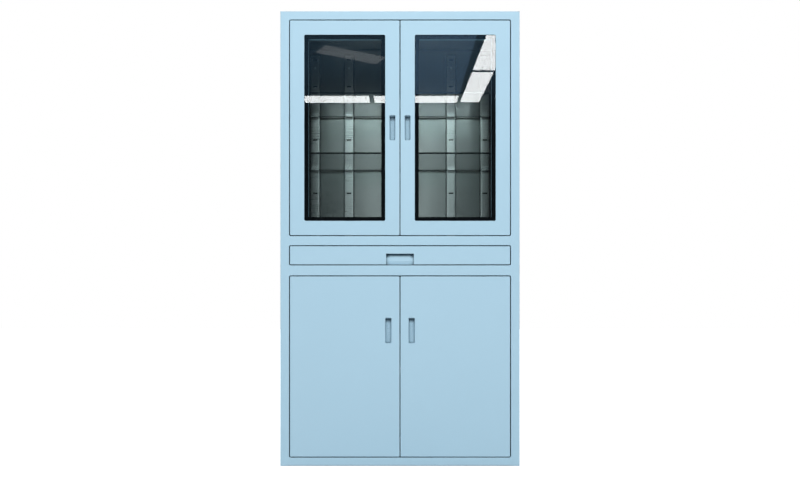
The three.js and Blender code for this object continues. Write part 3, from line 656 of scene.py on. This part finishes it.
def make_soft_folds():
    """Shades the folds smooth and keeps the cut edges sharp."""
    tree = bpy.data.node_groups.new("soft_folds", "GeometryNodeTree")
    tree.interface.new_socket("Geometry", in_out="INPUT", socket_type="NodeSocketGeometry")
    limit = tree.interface.new_socket(
        "Sharp Angle", in_out="INPUT", socket_type="NodeSocketFloat")
    limit.default_value = math.radians(FOLD_ANGLE)
    tree.interface.new_socket("Geometry", in_out="OUTPUT", socket_type="NodeSocketGeometry")
    given = place(tree, "NodeGroupInput")
    result = place(tree, "NodeGroupOutput")
    weld = place(tree, "GeometryNodeMergeByDistance")
    weld.inputs["Distance"].default_value = MERGE_DISTANCE
    faces = place(tree, "GeometryNodeSetShadeSmooth", domain="FACE")
    edges = place(tree, "GeometryNodeSetShadeSmooth", domain="EDGE")
    angle = place(tree, "GeometryNodeInputMeshEdgeAngle")
    test = place(tree, "FunctionNodeCompare", data_type="FLOAT", operation="GREATER_THAN")
    tree.links.new(given.outputs["Geometry"], weld.inputs["Geometry"])
    tree.links.new(weld.outputs["Geometry"], faces.inputs["Geometry"])
    tree.links.new(faces.outputs["Geometry"], edges.inputs["Geometry"])
    tree.links.new(angle.outputs["Unsigned Angle"], test.inputs[0])
    tree.links.new(given.outputs["Sharp Angle"], test.inputs[1])
    tree.links.new(test.outputs[0], edges.inputs["Selection"])
    edges.inputs["Shade Smooth"].default_value = False
    tree.links.new(edges.outputs["Geometry"], result.inputs["Geometry"])
    return tree


SOFT_FOLDS = make_soft_folds()

for name, node in nodes.items():
    finish = finish_of(name)
    node.data.materials.clear()
    node.data.materials.append(finish)
    if finish not in GLASS:
        node.modifiers.new("soft_folds", "NODES").node_group = SOFT_FOLDS
        flats = node.modifiers.new("flat_faces", "WEIGHTED_NORMAL")
        flats.keep_sharp = True


# Pieces added to the sheet metal

def finish_piece(name, mesh, body, finish, sharp_angle=PIECE_ANGLE):
    """Turns a mesh into a piece that rides on a body, with smooth folds and sharp cut edges."""
    mesh.name = name
    mesh.materials.clear()
    mesh.materials.append(finish)
    mesh.shade_smooth()
    mesh.set_sharp_from_angle(angle=math.radians(sharp_angle))
    piece = bpy.data.objects.new(name, mesh)
    bpy.context.collection.objects.link(piece)
    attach(piece, body)
    return piece


def mesh_from(work, name):
    bmesh.ops.recalc_face_normals(work, faces=work.faces)
    mesh = bpy.data.meshes.new(name)
    work.to_mesh(mesh)
    work.free()
    return mesh


def loft(work, rows):
    """Closed solid through rows of points that all have the same count."""
    loops = [[work.verts.new(point) for point in row] for row in rows]
    for near, far in zip(loops, loops[1:]):
        for i, vertex in enumerate(near):
            j = (i + 1) % len(near)
            work.faces.new((vertex, near[j], far[j], far[i]))
    work.faces.new(loops[0])
    work.faces.new(loops[-1])


def corner_arc(centre, radius, first, last):
    """Points of a quarter turn about a centre, as (distance from the middle, height) pairs."""
    points = []
    for i in range(CORNER_STEPS + 1):
        angle = math.radians(first + (last - first) * i / CORNER_STEPS)
        points.append(
            (centre[0] + radius * math.cos(angle), centre[1] + radius * math.sin(angle)))
    return points


def joint_outline(low, high, corners, radius):
    """Outline of one rail's weld: up the stile, round the upper corner, down the rail's end,
    round the lower corner."""
    under_stile = STILE_EDGE + FOLD + WELD_LAP
    under_rail = STILE_EDGE - WELD_LAP
    tip = STILE_EDGE - WELD_CORNER
    below, above = corners
    outline = []
    if above:
        top = high + WELD_CORNER
        outline.append((under_stile, top))
        outline += corner_arc((tip, top), radius, 0, -90)
        outline.append((tip, high - FOLD - WELD_LAP))
        outline.append((under_rail, high - FOLD - WELD_LAP))
    else:
        outline += [(under_stile, high), (under_rail, high)]
    if below:
        bottom = low - WELD_CORNER
        outline.append((under_rail, low + FOLD + WELD_LAP))
        outline.append((tip, low + FOLD + WELD_LAP))
        outline += corner_arc((tip, bottom), radius, 90, 0)
        outline.append((under_stile, bottom))
    else:
        outline += [(under_rail, low), (under_stile, low)]
    return outline


def make_frame_welds():
    """Ground welds between the rails and the stiles: flush in front, and rounded into the
    corners of the openings."""
    work = bmesh.new()
    turns = [math.radians(90 * i / FOLD_STEPS) for i in range(FOLD_STEPS + 1)]
    sections = [(FOLD * (1 - math.sin(t)), FOLD * (1 - math.cos(t))) for t in turns]
    sections.append((0, WELD_DEPTH))
    for node, corners in RAILS.items():
        low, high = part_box(node)[0].z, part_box(node)[1].z
        if not corners[0]:
            low += FOLD
        if not corners[1]:
            high -= FOLD
        for hand in (1, -1):
            rows = []
            for proud, depth in sections:
                outline = joint_outline(low, high, corners, WELD_CORNER + proud)
                rows.append([(hand * u, FRONT + WELD_SINK + depth, z) for u, z in outline])
            loft(work, rows)
    name = "frame_welds"
    finish_piece(name, mesh_from(work, name), "carcass", POWDER_COAT)


def make_shelf_cushions():
    """Black channels that cushion the rear edge of each glass shelf. Their black draws the dark
    line at each rear edge, partly the glass edge's own dark tone and partly painted shade for
    the gap behind it. They stop short of the clips."""
    wall, ease, clear = CUSHION_WALL, CUSHION_EASE, CLIP_CLEARANCE
    for number in (1, 2):
        low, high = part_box(f"glass_shelf_{number}")
        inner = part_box(f"clip_inner_{number}_right")
        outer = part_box(f"clip_outer_{number}_right")
        edge = high.x - CUSHION_END
        runs = [(-inner[0].x + clear, inner[0].x - clear)]
        between = (inner[1].x + clear, outer[0].x - clear)
        beyond = (outer[1].x + clear, edge)
        for start, end in (between, beyond):
            runs += [(start, end), (-end, -start)]
        rear, tip = high.y + wall, high.y - CUSHION_REACH
        under, over = low.z - wall, high.z + wall
        profile = [
            (tip, under), (rear - ease, under), (rear, under + ease),
            (rear, over - ease), (rear - ease, over), (tip, over),
            (tip, high.z), (high.y, high.z), (high.y, low.z), (tip, low.z),
        ]
        work = bmesh.new()
        for start, end in runs:
            loft(work, [[(x, y, z) for y, z in profile] for x in (start, end)])
        name = f"shelf_cushion_{number}"
        finish_piece(name, mesh_from(work, name), "carcass", SEAL)


def lathe(work, profile):
    """Closed head turned from (radius, height) pairs, base first. Returns the top ring."""
    turns = [2 * math.pi * i / HEAD_SIDES for i in range(HEAD_SIDES)]
    circle = [(math.cos(turn), math.sin(turn)) for turn in turns]
    rings = []
    for radius, height in profile:
        rings.append([work.verts.new((radius * x, radius * y, height)) for x, y in circle])
    for near, far in zip(rings, rings[1:]):
        for i in range(HEAD_SIDES):
            j = (i + 1) % HEAD_SIDES
            work.faces.new((near[i], near[j], far[j], far[i]))
    work.faces.new(rings[0])
    return rings[-1]


def make_rivet_head():
    """Dome of a blind rivet with the hollow that its stem leaves. Its radius is 1."""
    work = bmesh.new()
    work.faces.new(lathe(work, RIVET_PROFILE))
    return mesh_from(work, "rivet_head")


def make_screw_head():
    """Pan head with a cross recess. Its radius is 1."""
    work = bmesh.new()
    rim = lathe(work, SCREW_PROFILE)
    long, half = CROSS_LENGTH, CROSS_HALF
    cross = [
        (long, -half), (long, half), (half, half), (half, long), (-half, long), (-half, half),
        (-long, half), (-long, -half), (-half, -half), (-half, -long), (half, -long),
        (half, -half),
    ]
    along, across = CROSS_TAPER
    top = [work.verts.new((x, y, CROSS_TOP)) for x, y in cross]
    floor = [work.verts.new((x * along, y * across, CROSS_FLOOR)) for x, y in cross]
    lips = []
    for i, vertex in enumerate(top):
        j = (i + 1) % len(top)
        lips.append(work.edges.new((vertex, top[j])))
        work.faces.new((vertex, top[j], floor[j], floor[i]))
    work.faces.new(floor)
    rim_edges = [work.edges.get((rim[i], rim[(i + 1) % len(rim)])) for i in range(len(rim))]
    bmesh.ops.triangle_fill(work, edges=rim_edges + lips, use_beauty=True, use_dissolve=False)
    return mesh_from(work, "screw_head")


FASTENER_INPUTS = (
    ("Places", "NodeSocketGeometry"), ("Head", "NodeSocketObject"),
    ("Radius", "NodeSocketFloat"), ("Turn Seed", "NodeSocketInt"),
    ("Finish", "NodeSocketMaterial"),
)


def make_fastener_rows():
    """Sets a head on every point, turned to its facing and by chance about its own axis."""
    tree = bpy.data.node_groups.new("fastener_rows", "GeometryNodeTree")
    sockets = {}
    for label, kind in FASTENER_INPUTS:
        socket = tree.interface.new_socket(label, in_out="INPUT", socket_type=kind)
        sockets[label] = socket.identifier
    tree.interface.new_socket("Fasteners", in_out="OUTPUT", socket_type="NodeSocketGeometry")
    given = place(tree, "NodeGroupInput")
    result = place(tree, "NodeGroupOutput")
    head = place(tree, "GeometryNodeObjectInfo")
    tree.links.new(given.outputs["Head"], head.inputs["Object"])
    facing = place(tree, "GeometryNodeInputNamedAttribute", data_type="FLOAT_VECTOR")
    facing.inputs["Name"].default_value = "facing"
    upright = place(tree, "FunctionNodeAlignRotationToVector", axis="Z")
    tree.links.new(facing.outputs["Attribute"], upright.inputs["Vector"])
    chance = place(tree, "FunctionNodeRandomValue", data_type="FLOAT")
    chance.inputs[3].default_value = math.tau
    tree.links.new(given.outputs["Turn Seed"], chance.inputs["Seed"])
    turn = place(tree, "FunctionNodeAxisAngleToRotation")
    tree.links.new(chance.outputs[1], turn.inputs["Angle"])
    rotation = place(tree, "FunctionNodeRotateRotation", rotation_space="LOCAL")
    tree.links.new(upright.outputs["Rotation"], rotation.inputs["Rotation"])
    tree.links.new(turn.outputs["Rotation"], rotation.inputs["Rotate By"])
    heads = place(tree, "GeometryNodeInstanceOnPoints")
    tree.links.new(given.outputs["Places"], heads.inputs["Points"])
    tree.links.new(head.outputs["Geometry"], heads.inputs["Instance"])
    tree.links.new(rotation.outputs["Rotation"], heads.inputs["Rotation"])
    tree.links.new(given.outputs["Radius"], heads.inputs["Scale"])
    real = place(tree, "GeometryNodeRealizeInstances")
    tree.links.new(heads.outputs["Instances"], real.inputs["Geometry"])
    dress = place(tree, "GeometryNodeSetMaterial")
    tree.links.new(real.outputs["Geometry"], dress.inputs["Geometry"])
    tree.links.new(given.outputs["Finish"], dress.inputs["Material"])
    tree.links.new(dress.outputs["Geometry"], result.inputs["Fasteners"])
    return tree, sockets


FASTENER_ROWS, FASTENER_SOCKETS = make_fastener_rows()


def set_fasteners(name, head, radius, body, finish, places):
    """One piece of fasteners at (place, facing) pairs."""
    points = bpy.data.meshes.new(name + "_places")
    points.from_pydata([at for at, _ in places], [], [])
    facing = points.attributes.new("facing", "FLOAT_VECTOR", "POINT")
    facing.data.foreach_set("vector", [part for _, way in places for part in way])
    holder = bpy.data.objects.new(name + "_places", points)
    bpy.context.collection.objects.link(holder)
    model = bpy.data.objects.new(name + "_head", head)
    bpy.context.collection.objects.link(model)
    rows = holder.modifiers.new("fastener_rows", "NODES")
    rows.node_group = FASTENER_ROWS
    rows[FASTENER_SOCKETS["Head"]] = model
    rows[FASTENER_SOCKETS["Radius"]] = radius
    rows[FASTENER_SOCKETS["Turn Seed"]] = len(places)
    rows[FASTENER_SOCKETS["Finish"]] = finish
    graph = bpy.context.evaluated_depsgraph_get()
    mesh = bpy.data.meshes.new_from_object(holder.evaluated_get(graph), depsgraph=graph)
    bpy.data.objects.remove(holder)
    bpy.data.objects.remove(model)
    finish_piece(name, mesh, body, finish, HEAD_ANGLE)


def spaced(first, last, count):
    return [first + (last - first) * i / (count - 1) for i in range(count)]


def both_hands(places):
    """The given fasteners and their mirror images across the middle of the cabinet."""
    mirrored = [((-at[0], at[1], at[2]), (-way[0], way[1], way[2])) for at, way in places]
    return places + mirrored


def set_back_rivets(rivet):
    """Rivets round the back panel's flanges, and along the decks that it is fixed to."""
    backwards = (0, 1, 0)
    side_flange = SIDE - FLANGE_MIDDLE
    from_floor, from_top = BACK_ROW_ENDS
    levels = spaced(from_floor, TOP - from_top, BACK_ROW_COUNT)
    across = spaced(-CROSS_ROW_HALF, CROSS_ROW_HALF, CROSS_ROW_COUNT)
    rows = both_hands([((side_flange, BACK, z), backwards) for z in levels])
    rows += [((x, BACK, TOP - FLANGE_MIDDLE), backwards) for x in across]
    panel_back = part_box("back_panel")[1].y
    for deck in ("upper_deck", "lower_deck"):
        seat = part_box(deck)[1].z - FLANGE_MIDDLE
        rows += [((x, panel_back, seat), backwards) for x in across]
    set_fasteners("back_rivets", rivet, BACK_RIVET, "carcass", STAINLESS, rows)


def set_upright_screws(screw):
    forwards = (0, -1, 0)
    screws = []
    for name in ("upright_inner_right", "upright_outer_right"):
        low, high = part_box(name)
        from_foot, from_head = UPRIGHT_SCREW_ENDS
        for z in (low.z + from_foot, high.z - from_head):
            screws.append((((low.x + high.x) / 2, low.y, z), forwards))
    set_fasteners(
        "upright_screws", screw, UPRIGHT_SCREW, "carcass", STAINLESS, both_hands(screws))


def set_catch_screws(screw):
    down = (0, 0, -1)
    screws = []
    for name in ("catch_upper", "catch_lower"):
        low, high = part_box(name)
        screws.append(((high.x - CATCH_SCREW_INSET, (low.y + high.y) / 2, low.z), down))
    set_fasteners(
        "catch_screws", screw, CATCH_SCREW, "carcass", STAINLESS, both_hands(screws))


def set_wall_rivets(rivet):
    """Rivets of the shelf ledges and the side supports."""
    inwards = (-1, 0, 0)
    rivets = []
    low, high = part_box("shelf_ledge_right")
    for y in spaced(low.y + LEDGE_ROW_END, high.y - LEDGE_ROW_END, WALL_RIVET_COUNT):
        rivets.append(((high.x - SHEET, y, low.z + LEDGE_ROW_RISE), inwards))
    low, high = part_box("side_support_right")
    from_foot, from_head = SUPPORT_ROW_ENDS
    for z in spaced(low.z + from_foot, high.z - from_head, WALL_RIVET_COUNT):
        rivets.append(((high.x - SHEET, (low.y + high.y) / 2, z), inwards))
    set_fasteners(
        "wall_rivets", rivet, WALL_RIVET, "carcass", STAINLESS, both_hands(rivets))


def set_slide_screws(screw):
    inwards = (-1, 0, 0)
    low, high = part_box("drawer_side_right")
    level = (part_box("slide_drawer_right")[0].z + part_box("slide_drawer_right")[1].z) / 2
    from_front, from_rear = SLIDE_ROW_ENDS
    row = spaced(low.y + from_front, high.y - from_rear, SLIDE_SCREW_COUNT)
    screws = [((low.x, y, level), inwards) for y in row]
    set_fasteners(
        "slide_screws", screw, SLIDE_SCREW, "drawer", STAINLESS, both_hands(screws))


def make_fasteners():
    rivet = make_rivet_head()
    screw = make_screw_head()
    set_back_rivets(rivet)
    set_upright_screws(screw)
    set_catch_screws(screw)
    set_wall_rivets(rivet)
    set_slide_screws(screw)


make_frame_welds()
make_shelf_cushions()
make_fasteners()


# Studio

def seen_rays(tree):
    """1 for rays that the camera sends out, straight or through glass, and 0 for others."""
    rays = place(tree, "ShaderNodeLightPath").outputs
    through = math_node(tree, "SUBTRACT", rays["Is Transmission Ray"], rays["Glossy Depth"])
    return math_node(tree, "MAXIMUM", rays["Is Camera Ray"], through)


def make_floor():
    mesh = bpy.data.meshes.new("studio_floor")
    reach = FLOOR_REACH
    corners = [(-reach, -reach, 0), (reach, -reach, 0), (reach, reach, 0), (-reach, reach, 0)]
    mesh.from_pydata(corners, [], [(0, 1, 2, 3)])
    floor = bpy.data.objects.new("studio_floor", mesh)
    bpy.context.collection.objects.link(floor)
    material, tree, shader = new_material("studio_white")
    tone = noise(tree, object_point(tree), FLOOR_CLOUDS)
    tree.links.new(mix_colour(tree, tone, FLOOR_DARK, FLOOR_LIGHT), shader.inputs["Base Color"])
    shader.inputs["Roughness"].default_value = FLOOR_ROUGHNESS
    shader.inputs["Specular IOR Level"].default_value = FLOOR_SPECULAR
    shader.inputs["Emission Color"].default_value = WHITE
    distance = place(tree, "ShaderNodeVectorMath", operation="LENGTH")
    tree.links.new(object_point(tree), distance.inputs[0])
    fade = place(tree, "ShaderNodeMapRange")
    tree.links.new(distance.outputs["Value"], fade.inputs["Value"])
    fade.inputs["From Min"].default_value, fade.inputs["From Max"].default_value = FLOOR_FADE
    fade.inputs["To Min"].default_value = FLOOR_LIFT
    fade.inputs["To Max"].default_value = 1.0
    lift = math_node(tree, "MULTIPLY", seen_rays(tree), fade.outputs["Result"])
    tree.links.new(lift, shader.inputs["Emission Strength"])
    mesh.materials.append(material)


def make_light(name, place_at, turn, size, power):
    data = bpy.data.lights.new(name, "AREA")
    data.shape = "RECTANGLE"
    data.size, data.size_y = size
    data.energy = power
    light = bpy.data.objects.new(name, data)
    light.location = place_at
    light.rotation_mode = "QUATERNION"
    light.rotation_quaternion = turn
    light.visible_camera = False
    bpy.context.collection.objects.link(light)
    return light


def make_strip(name, x, away, size, angle, radiance, colour):
    power = radiance * math.pi * size[0] * size[1]
    turn = Quaternion((0, 0, 1), math.radians(angle))
    strip = make_light(name, (x, FRONT - away, STRIP_HEIGHT), turn, size, power)
    strip.data.color = colour


def keep_off_glass(light):
    """A polarising screen over the lamp: no glare in the glass or on the seals."""
    screen = bpy.data.collections.new("no_glare")
    light.light_linking.receiver_collection = screen
    for name, node in nodes.items():
        if finish_of(name) in GLASS or finish_of(name) == SEAL:
            screen.objects.link(node)
    for entry in screen.collection_objects:
        entry.light_linking.link_state = "EXCLUDE"


def keep_on_back(light):
    """Barn doors round the lamp: it reaches only the back panel and what is fixed to it."""
    lit = bpy.data.collections.new("lit_back")
    light.light_linking.receiver_collection = lit
    for name, node in nodes.items():
        if name == "back_panel" or name.startswith(("upright", "clip")):
            lit.objects.link(node)


def make_world():
    """White to the camera. Surfaces take in a soft grey room, and mirror one that is dark
    below and blue above."""
    world = bpy.data.worlds.new("studio")
    world.use_nodes = True
    tree = world.node_tree
    rays = place(tree, "ShaderNodeLightPath")
    background = tree.nodes["Background"]
    split = place(tree, "ShaderNodeSeparateXYZ")
    tree.links.new(place(tree, "ShaderNodeTexCoord").outputs["Generated"], split.inputs[0])
    wall = place(tree, "ShaderNodeMapRange")
    tree.links.new(split.outputs["Z"], wall.inputs["Value"])
    wall.inputs["From Min"].default_value, wall.inputs["From Max"].default_value = ROOM_EDGE
    mirrored = mix_colour(tree, wall.outputs["Result"], ROOM_LOW, ROOM_HIGH)
    room = mix_colour(tree, rays.outputs["Is Glossy Ray"], ROOM_LIGHT, mirrored)
    colour = mix_colour(tree, seen_rays(tree), room, WHITE)
    tree.links.new(colour, background.inputs["Color"])
    background.inputs["Strength"].default_value = 1.0
    bpy.context.scene.world = world


def make_camera():
    data = bpy.data.cameras.new("camera")
    data.sensor_width = SENSOR_WIDTH
    data.lens = CAMERA_DISTANCE / FRONT_SCALE / FRAME_WIDTH * SENSOR_WIDTH
    data.shift_y = HORIZON_DROP / FRAME_WIDTH
    camera = bpy.data.objects.new("camera", data)
    camera.location = (0, FRONT - CAMERA_DISTANCE, CAMERA_HEIGHT)
    camera.rotation_euler = (math.pi / 2, 0, 0)
    bpy.context.collection.objects.link(camera)
    bpy.context.scene.camera = camera


def towards(way):
    """Turn of a lamp that shines along a direction."""
    return way.to_track_quat("-Z", "Y")


make_floor()
make_world()
make_camera()
key = make_light("key", KEY_PLACE, towards(KEY_AIM - KEY_PLACE), KEY_SIZE, KEY_POWER)
key.data.spread = math.radians(KEY_SPREAD)
keep_off_glass(key)
inwards = towards(Vector((0, 1, 0)))
keep_off_glass(make_light("glow", GLOW_PLACE, inwards, GLOW_SIZE, GLOW_POWER))
keep_on_back(make_light("band", BAND_PLACE, inwards, BAND_SIZE, BAND_POWER))
for name, place_at, way, power in FILLS:
    make_light(name, place_at, towards(way), FILL_SIZE, power)
for strip in STRIPS:
    make_strip(*strip)
bpy.context.scene.view_settings.view_transform = "Standard"
